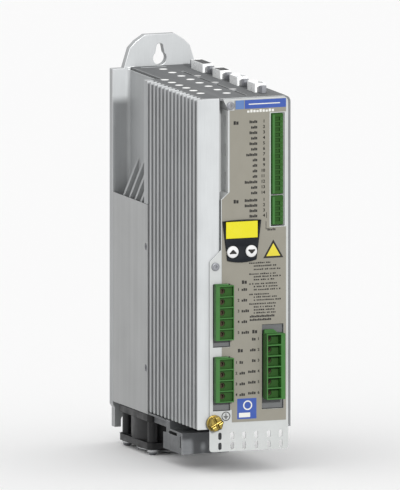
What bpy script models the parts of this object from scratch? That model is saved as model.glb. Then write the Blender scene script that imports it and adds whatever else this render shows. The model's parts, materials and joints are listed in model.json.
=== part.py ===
"""A slim, panel-mounted servo drive with plug-in terminals, a keypad and a cooling fan.

Every size below is in millimetres, counted from the drive's lower front left corner: X to the
right, Y to the rear, Z up. One empty carries all the pieces and puts the origin of the part at
the middle of the rear mounting face.
"""

import math

import bmesh
import bpy
from mathutils import Vector

MM = 0.001

# Driving dimensions of the case.
WIDTH = 70.0
HEIGHT = 234.8
PLATE_FRONT = 168.6
DEPTH = 174.6
SHEET = 1.6
PANEL_FRONT = -1.2
PANEL_BACK = -0.3
GAP = 0.3

# Heatsink.
SINK_BOTTOM = 0.6
FIN_DEPTH = 5.0
FIN_PITCH = 7.15
FIN_GAP = 4.2
FIN_COUNT = 14
FIRST_GROOVE = 2.2
RIB_WIDTH = 16.6
SINK_INSIDE = 17.0
STEP_Y = 106.3
REAR_WALL_X = 13.0
DUCT_TOP = 147.0
COVER_SHEET = 1.0
COVER_FRONT = 99.2

# Mounting plate.
TAB_CENTRE = 35.5
KEYHOLE_Z = 240.0
KEYHOLE_R = 5.0
KEYHOLE_NECK = 2.5
KEYHOLE_TOP = 250.5
LEG_BOTTOM = -20.0
LEG_SLOT_TOP = -12.4
LEG_SLOT_HALF = 2.5
LEG_SLOTS = (9.0, 61.0)

# Terminals.
POWER_PITCH = 7.62
SIGNAL_PITCH = 3.81
PLUG_BACK = 8.0
LEFT_SIDE = {
    "plug": (11.5, 25.2),
    "front": -6.4,
    "pocket": (14.6, 24.6),
    "mouth": 17.1,
    "tongue": (13.1, 21.3),
    "ridge": (1.0, 9.8, 12.6),
}
RIGHT_SIDE = {
    "plug": (48.4, 62.4),
    "front": -9.8,
    "pocket": (49.4, 59.2),
    "mouth": 51.9,
    "tongue": (49.2, 57.4),
    "ridge": (2.6, 7.0, 11.4),
}
SIGNAL_X = (55.4, 63.7)

# Keypad.
BEZEL = (-2.9, -2.05)
BEZEL_MIDDLE = 32.5
BUTTON_Z = 126.0
BUTTONS = {"button_up": 25.4, "button_down": 39.3}

# Fan.
FAN_CENTRE = (30.0, 127.0)
FAN_SIDE = 60.0
FAN_TOP = -1.8
FAN_BOTTOM = -26.8
FAN_FLANGE = 5.0
FAN_HOLE = 25.0
FAN_SIGNS = ((-1, -1), (-1, 1), (1, -1), (1, 1))
FAN_CORNERS = [(FAN_CENTRE[0] + a * FAN_HOLE, FAN_CENTRE[1] + b * FAN_HOLE) for a, b in FAN_SIGNS]

# Connectors on top: middle along Y, shell length, and whether the pins stand bare.
TOP_CONNECTOR_X = 55.15
TOP_CONNECTORS = (
    ("encoder", 136.3, 25.4, False),
    ("bus", 97.6, 17.0, False),
    ("pulse", 63.9, 17.0, True),
    ("service", 28.65, 17.0, True),
)

# Fasteners: centre and axis depth of each.
PANEL_SCREWS = {"panel_screw_upper": (24.3, 229.5), "panel_screw_lower": (13.0, 116.0)}
EARTH_SCREW = (11.9, 5.2)
COVER_SCREWS = {"duct_cover_screw_upper": 117.0, "duct_cover_screw_lower": 31.0}
COVER_SCREW_Y = 102.6

# Colour, metallic value and roughness of each finish.
FINISHES = {
    "cast_aluminium": ((0.66, 0.68, 0.69), 0.6, 0.5),
    "zinc_sheet": ((0.6, 0.61, 0.62), 0.6, 0.45),
    "painted_panel": ((0.78, 0.8, 0.79), 0.0, 0.45),
    "label_film": ((0.45, 0.42, 0.36), 0.0, 0.5),
    "black_plastic": ((0.02, 0.02, 0.025), 0.0, 0.5),
    "display_yellow": ((0.85, 0.8, 0.03), 0.0, 0.25),
    "white_rubber": ((0.85, 0.85, 0.84), 0.0, 0.6),
    "terminal_green": ((0.06, 0.28, 0.05), 0.0, 0.45),
    "terminal_grey": ((0.3, 0.31, 0.32), 0.0, 0.5),
    "plated_steel": ((0.72, 0.72, 0.7), 1.0, 0.3),
    "brass": ((0.75, 0.6, 0.25), 1.0, 0.3),
    "board_green": ((0.03, 0.2, 0.08), 0.0, 0.5),
    "capacitor_blue": ((0.05, 0.08, 0.2), 0.0, 0.4),
    "module_grey": ((0.2, 0.2, 0.22), 0.0, 0.5),
}


# ---------------------------------------------------------------- shapes


def prism(outline, axis, low, high):
    """A flat outline pushed from low to high along an axis."""
    order = {
        "X": lambda u, v, w: (w, u, v),
        "Y": lambda u, v, w: (u, w, v),
        "Z": lambda u, v, w: (u, v, w),
    }[axis]
    count = len(outline)
    points = [order(u, v, w) for w in (low, high) for u, v in outline]
    faces = [tuple(range(count)), tuple(range(count, 2 * count))]
    for i in range(count):
        j = (i + 1) % count
        faces.append((i, j, count + j, count + i))
    return points, faces


def box(x, y, z):
    """A box from three (low, high) pairs."""
    return prism([(x[0], y[0]), (x[1], y[0]), (x[1], y[1]), (x[0], y[1])], "Z", z[0], z[1])


def arc(centre, radius, start, end, steps):
    """Points on an arc, from start to end in degrees."""
    angles = [math.radians(start + (end - start) * i / steps) for i in range(steps + 1)]
    return [(centre[0] + radius * math.cos(a), centre[1] + radius * math.sin(a)) for a in angles]


def circle(centre, radius, sides, turn=0.0):
    return arc(centre, radius, turn, turn + 360.0, sides)[:-1]


def rounded(x, z, radius, steps=3):
    """A rectangle with round corners."""
    corners = (
        ((x[1] - radius, z[1] - radius), 0),
        ((x[0] + radius, z[1] - radius), 90),
        ((x[0] + radius, z[0] + radius), 180),
        ((x[1] - radius, z[0] + radius), 270),
    )
    return [p for centre, start in corners for p in arc(centre, radius, start, start + 90, steps)]


def turned(profile, axis, centre, sides):
    """A profile of (radius, height) points turned about an axis; it starts and ends on the axis."""
    order = {
        "X": lambda u, v, w: (w, u, v),
        "Y": lambda u, v, w: (u, w, v),
        "Z": lambda u, v, w: (u, v, w),
    }[axis]
    rings = profile[1:-1]
    points = [order(centre[0], centre[1], profile[0][1])]
    for radius, height in rings:
        points += [order(u, v, height) for u, v in circle(centre, radius, sides)]
    points.append(order(centre[0], centre[1], profile[-1][1]))
    last = len(points) - 1
    faces = []
    for i in range(sides):
        j = (i + 1) % sides
        faces.append((0, 1 + j, 1 + i))
        for k in range(len(rings) - 1):
            a, b = 1 + k * sides, 1 + (k + 1) * sides
            faces.append((a + i, a + j, b + j, b + i))
        base = 1 + (len(rings) - 1) * sides
        faces.append((base + i, base + j, last))
    return points, faces


def wire_ring(centre, radius, wire, height, sides, around):
    """A closed ring of round wire, lying level."""
    points, faces = [], []
    for i in range(sides):
        a = 2 * math.pi * i / sides
        for k in range(around):
            b = 2 * math.pi * (k + 0.5) / around
            r = radius + wire * math.cos(b)
            z = height + wire * math.sin(b)
            points.append((centre[0] + r * math.cos(a), centre[1] + r * math.sin(a), z))
    for i in range(sides):
        j = (i + 1) % sides
        for k in range(around):
            m = (k + 1) % around
            faces.append((i * around + k, j * around + k, j * around + m, i * around + m))
    return points, faces


# ---------------------------------------------------------------- objects


def new_material(name, finish):
    colour, metallic, roughness = FINISHES[finish]
    material = bpy.data.materials.new(f"{name}_{finish}")
    material.use_nodes = True
    shader = material.node_tree.nodes["Principled BSDF"]
    shader.inputs["Base Color"].default_value = (*colour, 1.0)
    shader.inputs["Metallic"].default_value = metallic
    shader.inputs["Roughness"].default_value = roughness
    return material


def new_object(name, shapes, origin):
    """One mesh object from closed shapes, its own origin at a point of the drive."""
    mesh = bpy.data.meshes.new(name)
    form = bmesh.new()
    for points, faces in shapes:
        corners = [form.verts.new((Vector(p) - Vector(origin)) * MM) for p in points]
        for face in faces:
            form.faces.new([corners[i] for i in face])
    bmesh.ops.recalc_face_normals(form, faces=form.faces)
    form.to_mesh(mesh)
    form.free()
    thing = bpy.data.objects.new(name, mesh)
    thing.location = Vector(origin) * MM
    thing.parent = DRIVE
    bpy.context.collection.objects.link(thing)
    return thing


def boolean(thing, operation, shapes, origin):
    """Adds or cuts shapes; the helper that holds them stays out of the build."""
    helper = new_object(f"{thing.name}_{operation.lower()}", shapes, origin)
    helper.hide_render = True
    helper.display_type = "WIRE"
    modifier = thing.modifiers.new(operation.title(), "BOOLEAN")
    modifier.operation = operation
    modifier.solver = "EXACT"
    modifier.use_self = len(shapes) > 1
    modifier.object = helper


def solid(name, finish, shapes, cuts=(), origin=(0, 0, 0), smooth=False):
    """A piece: its first shape, the others joined to it, and the cuts taken out."""
    piece = new_object(name, shapes[:1], origin)
    piece.data.materials.append(new_material(name, finish))
    if smooth:
        piece.data.shade_smooth()
        piece.data.set_sharp_from_angle(angle=math.radians(35))
    if len(shapes) > 1:
        boolean(piece, "UNION", shapes[1:], origin)
    if cuts:
        boolean(piece, "DIFFERENCE", list(cuts), origin)
    return piece


# ---------------------------------------------------------------- heatsink and duct


def sink_profile():
    """The extrusion seen from above: front rib, grooved side, rear step and the root of the plate."""
    outline = [(0.0, 0.0)]
    for k in range(FIN_COUNT):
        y = FIRST_GROOVE + k * FIN_PITCH
        outline += [(0.0, y), (FIN_DEPTH, y), (FIN_DEPTH, y + FIN_GAP), (0.0, y + FIN_GAP)]
    fillet = 3.0
    outline += [(0.0, STEP_Y), (REAR_WALL_X, STEP_Y)]
    outline += arc((REAR_WALL_X - fillet, PLATE_FRONT - fillet), fillet, 0, 90, 4)
    plate_root = PLATE_FRONT + 1.4
    outline += [(REAR_WALL_X - fillet, plate_root), (SINK_INSIDE, plate_root)]
    return outline + [(SINK_INSIDE, 3.0), (RIB_WIDTH, 3.0), (RIB_WIDTH, 0.0)]


def plate_outline():
    """The mounting plate seen from the front: two legs, square shoulders and a rounded hanging tab."""
    leg_inset, leg_width, plate_bottom, shoulder = 1.5, 15.5, -6.0, 234.0
    left = [(leg_inset + leg_width, plate_bottom), (leg_inset + leg_width, LEG_BOTTOM), (leg_inset, LEG_BOTTOM)]
    left += [(leg_inset, plate_bottom), (0.0, plate_bottom + 2.0), (0.0, shoulder)]
    for half, z in ((27.0, 234.0), (22.6, 248.0), (18.0, 252.6), (11.2, 257.0)):
        left.append((TAB_CENTRE - half, z))
    mirrored = [(2 * TAB_CENTRE - x, z) for x, z in reversed(left[6:])]
    right = [(WIDTH, shoulder), (WIDTH, plate_bottom + 2.0), (WIDTH - leg_inset, plate_bottom)]
    right += [(WIDTH - leg_inset, LEG_BOTTOM), (WIDTH - leg_inset - leg_width, LEG_BOTTOM)]
    return left + mirrored + right + [(WIDTH - leg_inset - leg_width, plate_bottom)]


def keyhole_outline():
    """A round hole that narrows smoothly to a slot above it."""
    flank = 48.0
    outline = arc((TAB_CENTRE, KEYHOLE_Z), KEYHOLE_R, 180 - flank, 360 + flank, 14)
    outline += arc((TAB_CENTRE, KEYHOLE_TOP - KEYHOLE_NECK), KEYHOLE_NECK, 0, 180, 6)
    return outline


def heatsink():
    through = (PLATE_FRONT - 1.0, DEPTH + 1.0)
    duct_fins = []
    for y in (117.0, 128.3, 139.6, 150.9):
        side = [(REAR_WALL_X + 1.0, SINK_BOTTOM), (1.6, SINK_BOTTOM), (1.6, DUCT_TOP), (REAR_WALL_X, 174.0)]
        side.append((REAR_WALL_X + 1.0, 174.0))
        duct_fins.append(prism(side, "Y", y - 1.4, y + 1.4))
    cuts = [prism(keyhole_outline(), "Y", *through)]
    for x in LEG_SLOTS:
        slot = arc((x, LEG_SLOT_TOP - LEG_SLOT_HALF), LEG_SLOT_HALF, 0, 180, 6)
        slot += [(x - LEG_SLOT_HALF, LEG_BOTTOM - 2.0), (x + LEG_SLOT_HALF, LEG_BOTTOM - 2.0)]
        cuts.append(prism(slot, "Y", *through))
    lid_under = HEIGHT - SHEET - GAP
    cuts.append(box((4.9, 25.0), (3.2, PLATE_FRONT - GAP), (lid_under, HEIGHT + 1.0)))
    cuts.append(box((11.1, 20.0), (-1.0, 22.0), (11.0, 110.0)))
    cuts.append(box((-1.0, COVER_SHEET + GAP), (COVER_FRONT - GAP, STEP_Y + 1.0), (-2.0, DUCT_TOP + GAP)))
    for z in COVER_SCREWS.values():
        cuts.append(prism(circle((COVER_SCREW_Y, z), 1.6, 10), "X", -1.0, 6.0))
    cuts.append(prism(circle(PANEL_SCREWS["panel_screw_lower"], 1.6, 10), "Y", -1.0, 7.0))
    cuts.append(prism(circle(EARTH_SCREW, 2.6, 12), "Y", -1.0, 12.0))
    plate = prism(plate_outline(), "Y", PLATE_FRONT, DEPTH)
    extrusion = prism(sink_profile(), "Z", SINK_BOTTOM, HEIGHT)
    solid("heatsink", "cast_aluminium", [plate, extrusion, *duct_fins], cuts)


def duct_cover():
    sheet = box((0.0, COVER_SHEET), (COVER_FRONT, PLATE_FRONT - GAP), (-1.5, DUCT_TOP))
    holes = [prism(circle((COVER_SCREW_Y, z), 2.5, 14), "X", -1.0, 2.0) for z in COVER_SCREWS.values()]
    solid("duct_cover", "zinc_sheet", [sheet], holes)
    for name, z in COVER_SCREWS.items():
        profile = [(0, 0.1), (1.9, 0.1), (2.2, 0.4), (2.2, 1.0), (1.3, 1.0), (1.3, 5.0), (0, 5.0)]
        solid(name, "plated_steel", [turned(profile, "X", (COVER_SCREW_Y, z), 12)], smooth=True)


# ---------------------------------------------------------------- housing and front


def lid_slits():
    """Narrow slits in the top sheet, one beside each connector."""
    spans = ((10.0, 34.6), (45.0, 70.0), (80.0, 104.0), (115.5, 136.0))
    return [box((39.4, 40.9), span, (HEIGHT - 4.0, HEIGHT + 1.0)) for span in spans]


def lid_vents():
    through = (HEIGHT - 4.0, HEIGHT + 1.0)
    vents = [prism(circle((31.3, 24.6 + 18.0 * k), 3.0, 10), "Z", *through) for k in range(8)]
    vents += [prism(circle((13.7, 30.0 + 14.2 * k), 3.0, 10), "Z", *through) for k in range(6)]
    return vents + [box((19.0, 37.0), (159.5, 162.5), through)]


def housing():
    corner = 4.5
    top, right = HEIGHT, WIDTH
    outline = [(5.2, top)] + arc((right - corner, top - corner), corner, 90, 0, 5)
    outline += [(right, 0.0), (SINK_INSIDE + GAP, 0.0), (SINK_INSIDE + GAP, 1.2), (right - SHEET, 1.2)]
    outline += arc((right - corner, top - corner), corner - SHEET, 0, 90, 5) + [(5.2, top - SHEET)]
    cuts = [box((0.0, SINK_INSIDE + GAP), (-1.0, 3.0 + GAP), (HEIGHT - 4.0, HEIGHT + 1.0))]
    cuts.append(box((0.0, REAR_WALL_X + 0.4), (STEP_Y, PLATE_FRONT), (HEIGHT - 4.0, HEIGHT + 1.0)))
    cuts += lid_slits() + lid_vents()
    for _, middle, length, _ in TOP_CONNECTORS:
        half = length / 2 + 0.4
        window = (TOP_CONNECTOR_X - 4.6, TOP_CONNECTOR_X + 4.6)
        cuts.append(box(window, (middle - half, middle + half), (HEIGHT - 4.0, HEIGHT + 1.0)))
        for y in jackscrew_places(middle, length):
            cuts.append(prism(circle((TOP_CONNECTOR_X, y), 1.8, 8), "Z", HEIGHT - 4.0, HEIGHT + 1.0))
    cuts += [box((20.0 + 7.0 * k, 24.0 + 7.0 * k), (104.0, 150.0), (-1.0, 2.0)) for k in range(5)]
    solid("housing", "zinc_sheet", [prism(outline, "Y", 0.0, PLATE_FRONT - GAP)], cuts)


def openings():
    """Openings in the front panel: left power terminals, right power terminals, signal terminals."""
    power = [box((11.2, 24.0), (-4.0, 2.0), z) for z in ((58.6, 103.4), (13.4, 51.8))]
    power.append(box((47.9, 64.0), (-4.0, 2.0), (13.3, 73.2)))
    return power + [box((54.6, 64.9), (-4.0, 2.0), (142.6, 222.9))]


def keypad_opening():
    halves = ((-12.8, 146.8), (-9.6, 120.9), (9.9, 120.9), (12.8, 146.8))
    return prism([(BEZEL_MIDDLE + x, z) for x, z in halves], "Y", -4.0, 2.0)


def front_panel():
    left = [(18.8, 234.3), (22.8, 226.0), (22.8, 168.0), (17.2, 163.0), (17.2, 127.4), (8.7, 119.4)]
    left += arc((10.7, -13.5), 2.0, 180, 270, 3)
    right = arc((65.7, -13.5), 2.0, 270, 360, 3) + arc((63.7, 230.3), 4.0, 0, 90, 4)
    face = prism(left + right, "Y", PANEL_FRONT, PANEL_BACK)
    under = HEIGHT - SHEET - GAP
    wall = [(17.2, 163.0), (22.8, 168.0), (22.8, 226.0), (19.5, under), (20.6, under), (23.7, 226.2), (23.7, 167.6)]
    channel = prism(wall + [(17.8, 162.3)], "Y", PANEL_BACK - 0.4, 13.1)
    floor = box((17.2, 23.2), (12.2, 13.1), (164.0, under))
    vents = [box((21.0, 25.0), (4.6, 6.0), z) for z in ((173.0, 182.0), (193.0, 202.0), (214.0, 222.0))]
    slots = []
    for x in (16.5, 25.7, 34.6, 43.7, 53.1, 62.0):
        for z in (-4.5, -11.6):
            slots.append(prism(rounded((x - 1.3, x + 1.3), (z - 2.65, z + 2.65), 1.2, 2), "Y", -4.0, 2.0))
    holes = [prism(circle(place, 1.6, 10), "Y", -4.0, 2.0) for place in PANEL_SCREWS.values()]
    holes.append(prism(circle(EARTH_SCREW, 2.6, 12), "Y", -4.0, 2.0))
    cuts = openings() + [keypad_opening()] + vents + slots + holes
    solid("front_panel", "painted_panel", [face, channel, floor], cuts)


def front_label():
    outline = [(27.4, 233.0), (27.4, 226.0), (23.8, 226.0), (23.8, 168.4), (17.8, 163.0), (17.8, 14.0)]
    outline += [(25.4, 14.0), (25.4, 5.0), (65.9, 5.0), (65.9, 233.0)]
    wide = [box((10.9, 24.1), (-4.0, 2.0), z) for z in ((58.5, 103.5), (13.3, 51.9))]
    wide.append(box((47.8, 64.1), (-4.0, 2.0), (13.2, 73.3)))
    wide.append(box((53.6, 67.0), (-4.0, 2.0), (142.0, 223.6)))
    film = prism(outline, "Y", PANEL_FRONT - GAP - 0.25, PANEL_FRONT - GAP)
    solid("front_label", "label_film", [film], wide + [keypad_opening()])


def panel_screws():
    for name, place in PANEL_SCREWS.items():
        profile = [(0, -3.0), (1.8, -3.0), (2.6, -2.3), (2.6, -1.5), (1.3, -1.5), (1.3, 6.0), (0, 6.0)]
        slot = box((place[0] - 3.0, place[0] + 3.0), (-3.5, -2.5), (place[1] - 0.4, place[1] + 0.4))
        solid(name, "plated_steel", [turned(profile, "Y", place, 14)], [slot], smooth=True)


def earth_terminal():
    x, z = EARTH_SCREW
    head = prism(circle(EARTH_SCREW, 5.5, 6, 15.0), "Y", -7.6, -2.9)
    shank = prism(circle(EARTH_SCREW, 2.2, 12), "Y", -3.4, 11.0)
    slot = box((x - 8.0, x + 8.0), (-8.0, -5.9), (z - 0.7, z + 0.7))
    solid("earth_screw", "brass", [head, shank], [slot])
    bore = prism(circle(EARTH_SCREW, 2.6, 12), "Y", -4.0, 0.0)
    solid("earth_washer", "brass", [prism(circle(EARTH_SCREW, 5.8, 20), "Y", -2.6, -1.5)], [bore])


# ---------------------------------------------------------------- keypad


def keypad():
    top = arc((BEZEL_MIDDLE, 0.5), 148.0, 95.6, 84.4, 6)
    bottom = arc((BEZEL_MIDDLE, 157.3), 39.0, 286.2, 253.8, 6)
    window = box((20.2, 44.5), (-4.0, 0.0), (135.2, 147.6))
    holes = [prism(circle((x, BUTTON_Z), 4.7, 18), "Y", -4.0, 0.0) for x in BUTTONS.values()]
    solid("keypad_bezel", "black_plastic", [prism(top + bottom, "Y", *BEZEL)], [window, *holes])
    solid("display_window", "display_yellow", [box((20.5, 44.2), (-2.75, -2.15), (135.5, 147.3))])
    solid("display_module", "module_grey", [box((22.6, 42.4), (-1.8, 2.9), (133.8, 146.2))])
    solid("keypad_board", "board_green", [box((18.4, 46.8), (3.4, 5.0), (117.0, 149.0))])
    for name, x in BUTTONS.items():
        profile = [(0, -3.9), (3.9, -3.9), (4.3, -3.5), (4.3, -2.65), (2.7, -2.65), (2.7, 2.3), (0, 2.3)]
        origin = (x, -2.65, BUTTON_Z)
        solid(name, "white_rubber", [turned(profile, "Y", (x, BUTTON_Z), 18)], origin=origin, smooth=True)


# ---------------------------------------------------------------- terminals


def power_plug(name, side, bottom, poles):
    """A screw plug: a block in front of the panel, a ridge on top, and a tongue inside its header."""
    top = bottom + poles * POWER_PITCH + 0.9
    left, right = side["plug"]
    block = box((left, right), (side["front"], -2.1), (bottom, top))
    tongue = box(side["tongue"], (-3.0, PLUG_BACK), (bottom + 1.0, top - 1.0))
    rise, flat, foot = side["ridge"]
    ridge = [(left + 0.2, top - 1.0), (left + 0.2, top + rise)]
    ridge += [(left + flat, top + rise), (left + foot, top - 1.0)]
    cuts = []
    for k in range(poles):
        middle = bottom + 0.45 + (k + 0.5) * POWER_PITCH
        cuts.append(box(side["pocket"], (side["front"] - 5.0, -3.8), (middle - 3.35, middle + 3.35)))
        cuts.append(prism(circle((side["mouth"], middle), 2.1, 12), "Y", -5.0, 5.0))
    origin = (left, PANEL_FRONT, bottom)
    solid(name, "terminal_green", [block, tongue, prism(ridge, "Y", -4.6, -2.1)], cuts, origin)


def header(name, x, z, mouth, tongue_x, tongue_z):
    """The fixed half of a connector: a grey box, open at the front, around the plug's tongue."""
    room_x = (tongue_x[0] - 0.4, tongue_x[1] + 0.4)
    room_z = (tongue_z[0] - 0.4, tongue_z[1] + 0.4)
    shapes = [box(x, (mouth, 14.0), z)]
    solid(name, "terminal_grey", shapes, [box(room_x, (mouth - 1.0, 10.5), room_z)])


def power_terminals():
    power_plug("mains_plug", LEFT_SIDE, 63.9, 5)
    power_plug("motor_plug", LEFT_SIDE, 19.9, 4)
    power_plug("supply_plug", RIGHT_SIDE, 20.8, 6)
    header("mains_header", (11.4, 23.8), (58.8, 103.2), 0.0, LEFT_SIDE["tongue"], (64.9, 101.9))
    header("motor_header", (11.4, 23.8), (13.6, 51.6), 0.0, LEFT_SIDE["tongue"], (20.9, 50.3))
    header("supply_header", (48.1, 63.8), (13.5, 73.0), 0.0, RIGHT_SIDE["tongue"], (21.8, 66.4))


def signal_plug(name, bottom, height, poles):
    """A small plug, flush with the panel, with one wire mouth to each pole."""
    cuts = []
    for k in range(poles):
        middle = bottom + 1.7 + (k + 0.5) * SIGNAL_PITCH
        x = SIGNAL_X[0]
        cuts.append(box((x + 2.4, x + 5.8), (-5.0, 1.6), (middle - 1.25, middle + 1.25)))
    origin = (SIGNAL_X[0], PANEL_FRONT, bottom)
    block = box(SIGNAL_X, (-1.9, 9.0), (bottom, bottom + height))
    solid(name, "terminal_green", [block], cuts, origin)


def signal_terminals():
    plugs = (("control_plug", 165.5, 56.6, 14), ("auxiliary_plug", 143.7, 20.1, 4))
    for name, bottom, height, poles in plugs:
        signal_plug(name, bottom, height, poles)
        z = (bottom, bottom + height)
        header(name.replace("plug", "header"), (54.6, 64.9), (z[0] - 0.7, z[1] + 0.7), 0.4, SIGNAL_X, z)


# ---------------------------------------------------------------- connectors on top


def jackscrew_places(middle, length):
    half = 12.5 if length < 20.0 else 16.65
    return (middle - half, middle + half)


def d_outline(middle, length, inset):
    """The D shape of a connector shell: one long side shorter than the other, corners cut."""
    half_x, half_y, lean, corner = 4.15 - inset, length / 2 - inset, 1.2, 1.5
    x0, x1 = TOP_CONNECTOR_X - half_x, TOP_CONNECTOR_X + half_x
    return [
        (x0, middle - half_y + corner),
        (x0 + corner, middle - half_y),
        (x1 - corner, middle - half_y + lean),
        (x1, middle - half_y + lean + corner),
        (x1, middle + half_y - lean - corner),
        (x1 - corner, middle + half_y - lean),
        (x0 + corner, middle + half_y),
        (x0, middle + half_y - corner),
    ]


def top_connectors():
    shell_top, wall = 240.9, 0.6
    flange_z = (231.2, 232.7)
    for name, middle, length, bare_pins in TOP_CONNECTORS:
        screws = jackscrew_places(middle, length)
        flange = (screws[0] - 2.9, screws[1] + 2.9)
        plate = box((TOP_CONNECTOR_X - 6.2, TOP_CONNECTOR_X + 6.2), flange, flange_z)
        tube = prism(d_outline(middle, length, 0.0), "Z", flange_z[0] + 0.2, shell_top)
        bores = [prism(d_outline(middle, length, wall), "Z", 225.0, 250.0)]
        bores += [prism(circle((TOP_CONNECTOR_X, y), 1.8, 8), "Z", 225.0, 250.0) for y in screws]
        solid(f"{name}_shell", "plated_steel", [plate, tube], bores)

        insert_top = 234.6 if bare_pins else shell_top - 0.5
        body_y = (middle - length / 2 - 0.2, middle + length / 2 + 0.2)
        body = box((TOP_CONNECTOR_X - 5.0, TOP_CONNECTOR_X + 5.0), body_y, (222.0, flange_z[0] - GAP))
        core = prism(d_outline(middle, length, wall + GAP), "Z", 229.0, insert_top)
        shapes, cuts = [body, core], []
        contacts = 9 if length < 20.0 else 15
        row_long = (contacts + 1) // 2
        for i in range(contacts):
            row, place = divmod(i, row_long)
            x = TOP_CONNECTOR_X + (1.42 if row else -1.42)
            y = middle + (place - (row_long - 1 - row) / 2) * 2.77
            if bare_pins:
                shapes.append(prism(circle((x, y), 0.55, 6), "Z", 234.0, shell_top - 0.8))
            else:
                cuts.append(prism(circle((x, y), 0.55, 6), "Z", 236.0, 250.0))
        solid(f"{name}_insert", "white_rubber" if bare_pins else "black_plastic", shapes, cuts)

        for side, y in zip(("front", "rear"), screws):
            hexagon = prism(circle((TOP_CONNECTOR_X, y), 2.8, 6), "Z", HEIGHT + GAP, 240.0)
            shank = prism(circle((TOP_CONNECTOR_X, y), 1.4, 8), "Z", 228.0, HEIGHT + 1.0)
            thread = prism(circle((TOP_CONNECTOR_X, y), 1.3, 8), "Z", 236.5, 245.0)
            solid(f"{name}_jackscrew_{side}", "plated_steel", [hexagon, shank], [thread])


# ---------------------------------------------------------------- fan


def fan_bracket():
    """A stepped sheet under the heatsink: a plate over the fan and a short tray in front of it."""
    sheet, left, right = 1.2, 0.3, 64.0
    plate_top, shelf_top, tray_bottom = -0.3, -6.0, -21.0
    front, riser, rear, tray_right = 31.0, 56.0, 165.0, 35.2
    steps = [(rear, plate_top), (riser, plate_top), (riser, shelf_top), (front, shelf_top)]
    steps += [(front, tray_bottom), (front + sheet, tray_bottom), (front + sheet, shelf_top - sheet)]
    steps += [(riser + sheet, shelf_top - sheet), (riser + sheet, plate_top - sheet), (rear, plate_top - sheet)]
    shapes = [prism(steps, "X", left, right)]
    wall = [(front, shelf_top), (front, tray_bottom), (68.0, tray_bottom), (68.0, -9.4), (62.0, -9.4)]
    wall += [(62.0, plate_top - 0.1), (57.6, plate_top - 0.1), (57.6, -9.4), (41.0, -9.4), (41.0, shelf_top)]
    shapes.append(prism(wall, "X", left - 0.3, left + sheet - 0.3))
    shapes += [box((x, x + sheet), (62.5, 96.5), (-7.0, -0.6)) for x in (4.0, right - sheet)]
    cuts = [prism(circle(FAN_CENTRE, 27.5, 32), "Z", -5.0, 1.0)]
    cuts += [prism(circle(corner, 2.1, 10), "Z", -5.0, 1.0) for corner in FAN_CORNERS]
    cuts.append(box((-1.0, 1.5), (COVER_FRONT - 1.0, rear + 1.0), (-5.0, 1.0)))
    cuts.append(prism(circle((8.0, 64.5), 2.2, 10), "Z", -5.0, 1.0))
    cuts.append(box((-1.0, 1.4), (33.4, 35.6), (-17.0, -8.6)))
    beyond_tray = (tray_right, right + 1.0)
    cuts.append(box(beyond_tray, (front - 1.0, riser - 0.1), (tray_bottom - 1.0, plate_top - 0.1)))
    solid("fan_bracket", "zinc_sheet", shapes, cuts)


def fan_frame():
    half = FAN_SIDE / 2
    cx, cy = FAN_CENTRE
    square = rounded((cx - half, cx + half), (cy - half, cy + half), 4.0, 3)
    bore, motor_radius = 28.0, 12.5
    upper = prism(square, "Z", FAN_TOP - FAN_FLANGE, FAN_TOP)
    lower = prism(square, "Z", FAN_BOTTOM, FAN_BOTTOM + FAN_FLANGE)
    barrel = prism(circle(FAN_CENTRE, half - 0.3, 32), "Z", FAN_BOTTOM + 0.5, FAN_TOP - 0.5)
    posts = [prism(circle(corner, 3.6, 12), "Z", FAN_BOTTOM + 1.0, FAN_TOP - 1.0) for corner in FAN_CORNERS]
    cuts = [prism(circle(FAN_CENTRE, bore, 32), "Z", FAN_BOTTOM - 1.0, FAN_TOP + 1.0)]
    cuts += [prism(circle(corner, 2.15, 10), "Z", FAN_BOTTOM - 1.0, FAN_TOP + 1.0) for corner in FAN_CORNERS]
    frame = solid("fan_frame", "black_plastic", [upper, lower, barrel, *posts], cuts)
    spokes = [prism(circle(FAN_CENTRE, motor_radius, 20), "Z", FAN_BOTTOM + 0.2, FAN_BOTTOM + 2.6)]
    spokes.append(prism(circle(FAN_CENTRE, 4.0, 16), "Z", FAN_BOTTOM + 2.0, FAN_BOTTOM + 12.0))
    for turn in (90.0, 210.0, 330.0):
        a = math.radians(turn)
        along, across = Vector((math.cos(a), math.sin(a))), Vector((-math.sin(a), math.cos(a)))
        ends = [(motor_radius - 2.0, -1.5), (bore + 1.0, -1.5), (bore + 1.0, 1.5), (motor_radius - 2.0, 1.5)]
        outline = [tuple(Vector(FAN_CENTRE) + along * u + across * v) for u, v in ends]
        spokes.append(prism(outline, "Z", FAN_BOTTOM + 0.3, FAN_BOTTOM + 2.4))
    boolean(frame, "UNION", spokes, (0, 0, 0))


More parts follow.
